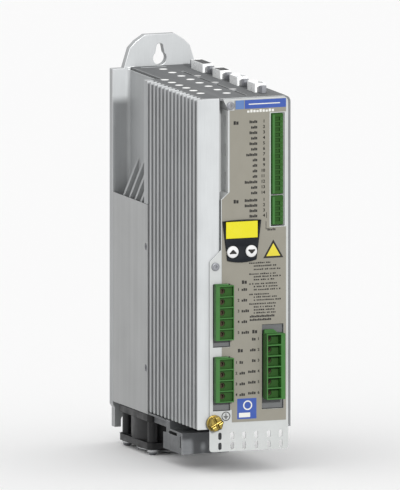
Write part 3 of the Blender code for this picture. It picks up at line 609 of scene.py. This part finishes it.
def power_print():
    """Numbers and block words beside the power plugs, and a heading for each plug."""
    forms = []
    for node, numeral_end, word_end, lift, (heading_end, heading_rise), lengths in POWER_PRINT:
        heights = list(reversed(pole_heights(node, *POWER_POLES)))
        forms += word(heading_end, heights[0] + heading_rise, 2, HEADING)
        for number, (z, letters) in enumerate(zip(heights, lengths), 1):
            end = word_end or numeral_end + 1.7 + POWER_WORD[1] * letters
            forms += bold_numeral(number, numeral_end, z + lift, 2.0)
            forms += word(end, z + lift, letters, POWER_WORD)
    return forms


def small_print():
    """Fine lines in groups, each one heading and two or three indented lines, then two bold lines."""
    generator = random.Random(7)
    forms, left, indent, letter_gap, word_gap = [], 38.3, 3.4, 0.35, 1.1
    groups = ((117.2, 115.0, 112.6), (109.4, 107.4, 105.3), (102.4, 100.4, 98.2), (95.0, 93.0, 90.9),
              (88.2, 86.0, 83.9, 81.8))
    for group in groups:
        for line, z in enumerate(group):
            x = left if line == 0 else left + indent
            end = x + generator.uniform(14.0, 20.5)
            while x < end:
                stroke = generator.uniform(0.7, 1.3)
                rise = generator.uniform(0.3, 0.65)
                forms.append(bar((x, x + stroke), (z - 0.5, z + rise)))
                x += stroke + (letter_gap if generator.random() < 0.8 else word_gap)
    for z, letters in ((79.4, 15), (77.0, 13)):
        forms += word(left + 0.4 + BOLD_LINE[1] * letters, z, letters, BOLD_LINE)
    return forms


def triangle(inset):
    """The caution triangle's corners, moved in by an inset."""
    (left, right), (foot, peak), spread = TRIANGLE_X, TRIANGLE_Z, 1.73 * inset
    x = (left + spread, right - spread)
    return [(x[0], foot + inset), (x[1], foot + inset), (middle(x), peak - 2 * inset)]


def earth_sign():
    """A circle round an upright line over three shorter and shorter ones."""
    (u, v), half_line, gap = EARTH_SIGN, 0.2, 0.75
    forms = [hollow(circle(EARTH_SIGN, 3.2), circle(EARTH_SIGN, 2.75), "Y", *ON_PANEL)]
    for k, half in enumerate((1.7, 1.1, 0.5)):
        z = v - 0.1 - gap * k
        forms.append(box((u - half, u + half), ON_PANEL, (z - half_line, z + half_line)))
    forms.append(box((u - half_line, u + half_line), ON_PANEL, (v, v + 2.0)))
    return forms


def front_print():
    """The film and all that is printed on it, in one piece for each ink or mark."""
    film = span("front_label")
    right, top, bottom = film[0][1], film[2][1], film[2][0]
    refine("front_label", FILM, move=settle_film, width=0.0)
    ink = signal_print() + power_print() + small_print()
    ink.append(prism(triangle(0.0), "Y", *ON_FILM))
    make("film_black_print", CHASSIS, ink + earth_sign(), INK)
    header = (top - 6.2, top)
    make("film_header_bar", CHASSIS, [bar((right - 30.9, right), header)], BLUE_INK)
    make("film_header_square", CHASSIS, [bar((right - 37.9, right - 31.4), header)], PALE_BLUE_INK)
    title = word(right - 8.4, top - 7.9, 9, TITLE)
    title.append(box((right - 28.0, right - 4.5), ON_INK, (top - 3.4, top - 2.7)))
    make("film_white_print", CHASSIS, title, WHITE_INK)
    make("film_yellow_triangle", CHASSIS, [prism(triangle(1.35), "Y", *ON_INK)], YELLOW_INK)
    sticker_x, sticker_z = (29.3, 43.7), (bottom + 2.0, bottom + 16.5)
    make("film_sticker", CHASSIS, [bar(sticker_x, sticker_z)], BLUE_INK)
    marks = [box((30.6, 39.0), ON_INK, (sticker_z[0] + 1.2, sticker_z[0] + 4.4))]
    centre = (middle(sticker_x) + 0.6, sticker_z[0] + 9.6)
    marks.append(hollow(circle(centre, 3.4), circle(centre, 2.5), "Y", *ON_INK))
    make("film_sticker_marks", CHASSIS, marks, WHITE_INK)


# ---------------------------------------------------------------- keypad


# A broad arrowhead round the middle of a button.
ARROWHEAD = ((-2.8, -0.9), (-0.4, 1.6), (0.4, 1.6), (2.8, -0.9),
             (2.0, -1.5), (1.1, -1.3), (-1.1, -1.3), (-2.0, -1.5))


def settle_bezel(x, y, z):
    """The back of the bezel and of the window goes to the film's face."""
    return x, (FILM_FRONT if y > -2.4 else y), z


def keypad():
    """The bezel, the lit window, what is behind them, and the two buttons with their arrows."""
    refine("keypad_bezel", KEYPAD_BLACK, width=0.2, move=settle_bezel, merge_faces=False)
    refine("display_window", DISPLAY, width=0.12, move=settle_bezel)
    for node, material in (("display_module", MODULE), ("keypad_board", BOARD)):
        refine(node, material, width=0.2)
    for node, way in (("button_up", 1), ("button_down", -1)):
        x, y, z = span(node)
        centre, front, back = (middle(x), middle(z)), y[0], -2.65
        profile = [(0, front), (3.4, front + 0.05), (3.95, front + 0.22), (4.25, front + 0.6)]
        profile += [(4.28, back), (2.7, back), (2.7, y[1]), (0, y[1])]
        make(f"{node}_cap", BODY_OF[node], [turned(profile, "Y", centre)], WHITE, stands_for=(node,))
        arrow = [(centre[0] + u, centre[1] + v * way) for u, v in ARROWHEAD]
        make(f"{node}_arrow", BODY_OF[node], [prism(arrow, "Y", front - 0.05, front + 0.3)], INK)


# ---------------------------------------------------------------- terminals


POCKET_FLOOR = -3.8
SIGNAL_MOUTH_X = (57.6, 61.4)


def pocket_floors(node, pocket, mouth):
    """A darker floor at the bottom of each pocket, round the wire mouth, which is painted shade, and the
    clamp down in it.
    """
    floors, clamps, mouths = [], [], []
    for z in pole_heights(node, *POWER_POLES):
        spot, floor = (mouth, z), POCKET_FLOOR
        floors.append(box(pocket, (floor - 0.25, floor - 0.01), (z - 3.3, z + 3.3)))
        mouths.append(prism(circle(spot, 2.1, 32), "Y", floor - 2, floor + 2))
        clamps.append(hollow(circle(spot, 2.05, 32), circle(spot, 1.35, 32), "Y", floor + 1.0, floor + 3.2))
        clamps.append(prism(circle(spot, 1.5, 32), "Y", floor + 3.0, floor + 3.4))
    # Painted shade: the pocket floors are darker green for the shade down in the pockets.
    make(f"{node}_pocket_floors", BODY_OF[node], floors, DEEP_GREEN, cuts=mouths)
    # The clamps' dark brass is painted shade.
    make(f"{node}_clamps", BODY_OF[node], clamps, SHADED_BRASS)


def grown(x, z, by):
    """The corners of a rectangle grown by a margin on every side."""
    return [(x[0] - by, z[0] - by), (x[1] + by, z[0] - by), (x[1] + by, z[1] + by), (x[0] - by, z[1] + by)]


def signal_face(node):
    """The raised strip, the skirt round the face, the mouths' floors and the rim of each pole's screw."""
    x, y, z = span(node)
    body, heights = BODY_OF[node], pole_heights(node, *SIGNAL_POLES)
    strip = box((x[0] + 0.15, x[0] + 1.9), (y[0] - 0.25, y[0] + 0.1), (z[0] + 0.3, z[1] - 0.3))
    make(f"{node}_strip", body, [strip], GREEN, width=0.1)
    make(f"{node}_skirt", body, [hollow(grown(x, z, 0.4), grown(x, z, -0.3), "Y", -0.2, 0.25)], GREEN)
    floors = [box(SIGNAL_MOUTH_X, (-0.7, -0.5), (height - 1.4, height + 1.4)) for height in heights]
    make(f"{node}_mouth_floors", body, floors, DEEP_GREEN)
    rims = []
    for height in heights:
        spot = (x[0] + 7.0, height)
        rims.append(hollow(circle(spot, 0.9, 20), circle(spot, 0.6, 20), "Y", y[0] - 0.1, y[0] + 0.1))
    make(f"{node}_screw_rims", body, rims, GREEN)


def terminals():
    """The five plugs and their headers. Each wire mouth's middle is a distance from its plug's left."""
    for node, mouth in (("mains_plug", 5.6), ("motor_plug", 5.6), ("supply_plug", 3.5)):
        refine(node, GREEN, width=0.25)
        left = span(node)[0][0]
        pocket = (left + mouth - 2.4, left + mouth + 7.4)
        pocket_floors(node, pocket, left + mouth)
    for node in ("control_plug", "auxiliary_plug"):
        refine(node, DEEP_GREEN, width=0.15)
        signal_face(node)
    for node in ("mains_header", "motor_header", "supply_header"):
        refine(node, GREY, width=0.2)
    for node in ("control_header", "auxiliary_header"):
        refine(node, WHITE, width=0.15)


# ---------------------------------------------------------------- connectors on top


FLANGE_HEIGHT = 1.5
# Each connector's contacts, and the length of flange beyond either end of its shell.
CONNECTORS = (("encoder", 15, 7.1), ("bus", 9, 6.9), ("pulse", 9, 6.9), ("service", 9, 6.9))


def d_outline(x, y, lean, inset):
    """The D shape of a connector shell, one long side shorter than the other, its corners round."""
    x0, x1, y0, y1 = x[0] + inset, x[1] - inset, y[0] + inset, y[1] - inset
    corners = ((x0, y0), (x1, y0 + lean), (x1, y1 - lean), (x0, y1))
    points, radius = [], 1.6 - inset
    for k, corner in enumerate(corners):
        before, here, after = Vector(corners[k - 1]), Vector(corner), Vector(corners[(k + 1) % 4])
        start, end = here + (before - here).normalized() * radius, here + (after - here).normalized() * radius
        for step in range(7):
            s = step / 6
            points.append(tuple(start * (1 - s) ** 2 + here * 2 * s * (1 - s) + end * s ** 2))
    return points


def connector(name, contacts, end):
    """A shell on its flange round a core, which has holes in a socket and pins in a plug."""
    socket = name in ("encoder", "bus")
    flange_x, flange_y, z = span(f"{name}_shell")
    centre = (middle(flange_x), middle(flange_y))
    half, seat = (flange_y[1] - flange_y[0]) / 2 - end, z[0] + FLANGE_HEIGHT
    shell_x, shell_y = (centre[0] - 4.15, centre[0] + 4.15), (centre[1] - half, centre[1] + half)
    outer, inner, fitted = (d_outline(shell_x, shell_y, 1.2, inset) for inset in (0.0, 0.5, 0.55))
    make(f"{name}_shell_wall", CHASSIS, [hollow(outer, inner, "Z", seat, z[1])], SHELL_PAINTED_REFLECTION, width=0.12,
         stands_for=(f"{name}_shell",))
    make(f"{name}_flange", CHASSIS, [box(flange_x, flange_y, (z[0], seat))], SHELL_PAINTED_REFLECTION, width=0.15)
    top = z[1] - 0.15 if socket else z[0] + 3.4
    row_long = (contacts + 1) // 2
    holes, pins = [], []
    for i in range(contacts):
        row, place = divmod(i, row_long)
        spot = (centre[0] + (1.42 if row else -1.42), centre[1] + (place - (row_long - 1 - row) / 2) * 2.77)
        holes.append(prism(circle(spot, 0.55, 12), "Z", top - 2.5, top + 1))
        pin = [(0, top - 1), (0.5, top - 1), (0.5, z[1] - 1.0), (0.2, z[1] - 0.5), (0, z[1] - 0.5)]
        pins.append(turned(pin, "Z", spot, 12))
    make(f"{name}_core", CHASSIS, [prism(fitted, "Z", seat, top)], BLACK if socket else WHITE,
         cuts=holes if socket else (), stands_for=(f"{name}_insert",))
    if not socket:
        make(f"{name}_pins", CHASSIS, pins, STEEL)


def data_connectors():
    """The four connectors on the lid, each between two jackscrews."""
    for name, contacts, end in CONNECTORS:
        connector(name, contacts, end)
        for side in ("front", "rear"):
            node = f"{name}_jackscrew_{side}"
            x, y, z = span(node)
            spot, head = (middle(x), middle(y)), z[1]
            hexagon = prism(circle(spot, 2.75, 6), "Z", 234.9, head - 0.1)
            make(f"{node}_hex", CHASSIS, [hexagon], SCREW, width=0.2, stands_for=(node,),
                 cuts=[prism(circle(spot, 1.3, 24), "Z", head - 3.5, head + 2)])


# Each row of round vents in the lid: its place along X, the first vent's along Y, the pitch and the count.
VENT_ROWS = ((31.3, 24.6, 18.0, 8), (13.7, 30.0, 14.2, 6))
VENT_RADIUS = 2.8
BUTTON_X, BUTTON_PLACES = 42.0, (111.0, 76.0, 41.0)


def vent_fleece():
    """White discs under the lid's two rows of vents, painted light for the brightness that shows through
    them, and the white buttons between its slits.
    """
    top = span("housing")[2][1]
    spots = [(x, start + pitch * k) for x, start, pitch, count in VENT_ROWS for k in range(count)]
    discs = [prism(circle(spot, VENT_RADIUS, 24), "Z", top - 1.5, top - 0.1) for spot in spots]
    make("vent_fleece", CHASSIS, discs, VENT_LIGHT)
    button = [(0, top - 0.5), (2.7, top - 0.5), (2.5, top + 0.15), (0, top + 0.4)]
    buttons = [turned(button, "Z", (BUTTON_X, y), 32) for y in BUTTON_PLACES]
    make("lid_buttons", CHASSIS, buttons, WHITE)


# ---------------------------------------------------------------- fan


HUB_RADIUS = 13.5
BORE_RADIUS = 28.0
SCREW_OFFSET = 25.0
SCREW_HOLE = 2.15


def fan():
    """The frame in its parts, then the rotor, the guard and the four screws."""
    x, y, z = span("fan_frame")
    centre, half = (middle(x), middle(y)), (x[1] - x[0]) / 2
    bottom, top = z
    corners = [(centre[0] + a * SCREW_OFFSET, centre[1] + b * SCREW_OFFSET) for a in (-1, 1) for b in (-1, 1)]
    square = []
    for (sx, sy), start in (((1, 1), 0), ((-1, 1), 90), ((-1, -1), 180), ((1, -1), 270)):
        square += arc((centre[0] + sx * (half - 4), centre[1] + sy * (half - 4)), 4.0, start, start + 90, 17)
    bore = circle(centre, BORE_RADIUS, 72)
    holes = [prism(circle(c, SCREW_HOLE, 24), "Z", bottom - 1, top + 1) for c in corners]
    for name, low in (("lower", bottom), ("upper", top - 5)):
        make(f"fan_flange_{name}", CHASSIS, [hollow(square, bore, "Z", low, low + 5)], BLACK, width=0.3,
             cuts=holes, stands_for=("fan_frame",) if name == "lower" else ())
    between = (bottom + 4.9, top - 4.9)
    make("fan_barrel", CHASSIS, [hollow(circle(centre, half - 0.3, 72), bore, "Z", *between)], BLACK)
    posts = [hollow(circle(c, 3.6, 32), circle(c, SCREW_HOLE, 32), "Z", *between) for c in corners]
    make("fan_posts", CHASSIS, posts, BLACK)
    make("fan_struts", CHASSIS, motor_mount(centre, bottom), BLACK, width=0.2)
    rotor(centre)
    guard(centre, corners, bottom)
    for k, corner in enumerate(corners, 1):
        fan_screw(f"fan_screw_{k}", corner)


def motor_mount(centre, bottom):
    """A round base with a bearing tube, on three struts from the frame."""
    base = [(0, bottom + 0.2), (12.0, bottom + 0.2), (12.5, bottom + 0.7)]
    base += [(12.5, bottom + 2.6), (0, bottom + 2.6)]
    tube = [(0, bottom + 2.0), (4.0, bottom + 2.0), (4.0, bottom + 12), (0, bottom + 12)]
    forms = [turned(base, "Z", centre), turned(tube, "Z", centre)]
    for turn in (90.0, 210.0, 330.0):
        a = math.radians(turn)
        along, across = Vector((math.cos(a), math.sin(a))), Vector((-math.sin(a), math.cos(a))) * 1.5
        start, end = Vector(centre) + along * 11, Vector(centre) + along * 28.6
        strut = [tuple(p) for p in (start - across, end - across, end + across, start + across)]
        forms.append(prism(strut, "Z", bottom + 0.3, bottom + 2.4))
    return forms


def fan_screw(node, corner):
    """A round head with one slot, and a short piece of its shank."""
    low = span(node)[2][0]
    profile = [(0, low), (2.2, low + 0.1), (3.0, low + 0.6), (3.2, low + 1.2), (3.2, low + 1.8)]
    profile += [(1.6, low + 1.8), (1.6, -0.6), (0, -0.6)]
    slot = box((corner[0] - 2.2, corner[0] + 2.2), (corner[1] - 0.35, corner[1] + 0.35), (low - 1, low + 0.9))
    make(f"{node}_head", CHASSIS, [turned(profile, "Z", corner)], SCREW, cuts=[slot], stands_for=(node,))


def fan_blade(centre, turn, inner, outer, low, high):
    """A twisted blade, thickest in the middle, as a grid of points on each side and faces round its edge."""
    sweep, steps, rows, thickness = math.radians(38.0), 10, 5, 1.0
    points, faces = [], []
    for side in (-0.5, 0.5):
        for r in range(rows + 1):
            radius = inner + (outer - inner) * r / rows
            for k in range(steps + 1):
                s = k / steps
                a = turn + sweep * (s - 0.5) + side * thickness / radius * (1 - 0.5 * abs(2 * s - 1))
                z = low + (high - low) * min(1.0, s + 0.12 * math.sin(math.pi * s))
                points.append((centre[0] + radius * math.cos(a), centre[1] + radius * math.sin(a), z))
    n, m = steps + 1, (rows + 1) * (steps + 1)
    for r in range(rows):
        for k in range(steps):
            a = r * n + k
            faces.append((a, a + 1, a + n + 1, a + n))
            faces.append((m + a, m + a + n, m + a + n + 1, m + a + 1))
    for k in range(steps):
        for r in (0, rows):
            a = r * n + k
            faces.append((a, a + 1, m + a + 1, m + a))
    for r in range(rows):
        for k in (0, steps):
            a = r * n + k
            faces.append((a, a + n, m + a + n, m + a))
    return points, faces


def rotor(centre):
    """A hub with a bore for the bearing tube, and seven blades."""
    low, high = span("fan_rotor")[2]
    profile = [(0, low + 10), (4.6, low + 10), (4.6, low), (13.1, low), (HUB_RADIUS, low + 0.4)]
    profile += [(HUB_RADIUS, high - 1.2), (12.9, high - 0.3), (12.0, high), (0, high)]
    forms = [turned(profile, "Z", centre, 64)]
    forms += [fan_blade(centre, 2 * math.pi * k / 7, 12.9, 27.2, low + 0.9, high - 3.3) for k in range(7)]
    make("fan_rotor_blades", BODY_OF["fan_rotor"], forms, BLACK, stands_for=("fan_rotor",), sharp=50)


def guard(centre, corners, bottom):
    """Three wire rings on four wires, each of which ends in an eye under a screw."""
    forms = [ring(centre, r, 0.85, bottom - 2.4) for r in (9.0, 17.0, 25.0)]
    level = bottom - 1.15
    for corner in corners:
        along = (Vector(corner) - Vector(centre)).normalized()
        start, end = Vector(centre) + along * 8.6, Vector(corner) - along * 3.4
        forms.append(rod((start.x, start.y, level), (end.x, end.y, level), 0.8))
        forms.append(hollow(circle(corner, 3.8), circle(corner, 2.1), "Z", bottom - 1.9, bottom - 0.3))
    make("fan_guard_wire", CHASSIS, forms, STEEL, stands_for=("fan_guard",))


# ---------------------------------------------------------------- inside


def capacitor(node):
    """A can lying along X, with a rolled rim at its right end."""
    (left, right), y, z = span(node)
    profile = [(0, left), (14.0, left), (15.0, left + 1.0), (15.0, right - 1.0), (14.3, right), (13.2, right)]
    profile += [(13.0, right - 0.6), (0, right - 0.6)]
    make(f"{node}_can", CHASSIS, [turned(profile, "X", (middle(y), middle(z)))], SLEEVE, stands_for=(node,))


def choke():
    """A ring core with turns of wire round it."""
    x, y, z = span("filter_choke")
    centre, count, inner, outer = (middle(y), middle(z)), 22, 7.6, 14.3
    core = hollow(circle(centre, 13.6), circle(centre, 8.4), "X", x[0] + 1.2, x[1] - 1.2)
    make("filter_choke_core", CHASSIS, [core], MODULE, width=0.5, stands_for=("filter_choke",))
    loop = [(x[0] + 0.6, inner), (x[1] - 0.6, inner), (x[1] - 0.6, outer), (x[0] + 0.6, outer)]
    wires = []
    for k in range(count):
        a = 2 * math.pi * (k + 0.5) / count
        u, v = math.cos(a), math.sin(a)
        corners = [(place, centre[0] + radius * u, centre[1] + radius * v) for place, radius in loop]
        wires += [rod(corners[i], corners[(i + 1) % 4], 0.6, 8) for i in range(4)]
    make("filter_choke_winding", CHASSIS, wires, COPPER)


def inside():
    """What can be seen through the vents."""
    refine("power_board", BOARD, width=0.1)
    refine("control_board", BOARD, width=0.1)
    refine("power_module", MODULE, width=0.4)
    for k in (1, 2, 3):
        capacitor(f"bus_capacitor_{k}")
    choke()


# ---------------------------------------------------------------- stage

# Azimuth and elevation in degrees, then the light's strength and its width in the sky.
KEY_FROM, KEY_STRENGTH, KEY_WIDTH = (1.0, 20.0), 3.85, math.radians(6.0)
# The photograph's direction, the point it looks at, its height in metres and the camera's distance.
VIEW_FROM, VIEW_AT, VIEW_HEIGHT, VIEW_DISTANCE = (-20.7, 8.2), (34.8, 87.0, 118.4), 0.3439, 2.0


def stage():
    """A pale floor under the lowest point, an even white sky, and a soft key light from the front."""
    floor_mesh = bpy.data.meshes.new("floor")
    size, height = 6.0, CAD_BOX[0][2]
    corners = [(size * u, size * v, height) for u, v in ((-1, -1), (1, -1), (1, 1), (-1, 1))]
    floor_mesh.from_pydata(corners, [], [(0, 1, 2, 3)])
    floor = bpy.data.objects.new("floor", floor_mesh)
    bpy.context.collection.objects.link(floor)
    pale = bpy.data.materials.new("pale_floor")
    pale.use_nodes = True
    shader = pale.node_tree.nodes["Principled BSDF"]
    shader.inputs["Base Color"].default_value = (0.96, 0.96, 0.96, 1.0)
    shader.inputs["Roughness"].default_value = 0.9
    shader.inputs["Specular IOR Level"].default_value = 0.1
    floor_mesh.materials.append(pale)

    world = bpy.context.scene.world or bpy.data.worlds.new("studio")
    bpy.context.scene.world = world
    world.use_nodes = True
    backdrop = world.node_tree.nodes["Background"]
    backdrop.inputs["Color"].default_value = (1.0, 1.0, 1.0, 1.0)
    backdrop.inputs["Strength"].default_value = 1.0

    key = bpy.data.lights.new("key", "SUN")
    key.energy = KEY_STRENGTH
    key.angle = KEY_WIDTH
    lamp = bpy.data.objects.new("key", key)
    lamp.rotation_euler = direction(*KEY_FROM).to_track_quat("Z", "Y").to_euler()
    bpy.context.collection.objects.link(lamp)
    return floor, lamp


def key_spares_floor(floor, lamp):
    """The key light falls on the drive alone, so the floor keeps only the soft shadow of the sky."""
    lit = bpy.data.collections.new("lit_by_key")
    for thing in bpy.data.objects:
        if thing.type == "MESH" and thing is not floor:
            lit.objects.link(thing)
    lamp.light_linking.receiver_collection = lit


def camera():
    """A parallel view from the front left, a little above."""
    back = direction(*VIEW_FROM)
    lens = bpy.data.cameras.new("camera")
    lens.type = "ORTHO"
    lens.ortho_scale = VIEW_HEIGHT
    eye = bpy.data.objects.new("camera", lens)
    eye.location = at(*VIEW_AT) + back * VIEW_DISTANCE
    eye.rotation_euler = back.to_track_quat("Z", "Y").to_euler()
    bpy.context.collection.objects.link(eye)
    bpy.context.scene.camera = eye


bpy.context.scene.view_settings.view_transform = "Standard"
camera()
FLOOR, KEY = stage()
case()
channel_skin()
for screw in ("panel_screw_upper", "panel_screw_lower"):
    panel_screw(screw)
earth_terminal()
front_print()
keypad()
terminals()
data_connectors()
vent_fleece()
fan()
inside()
key_spares_floor(FLOOR, KEY)
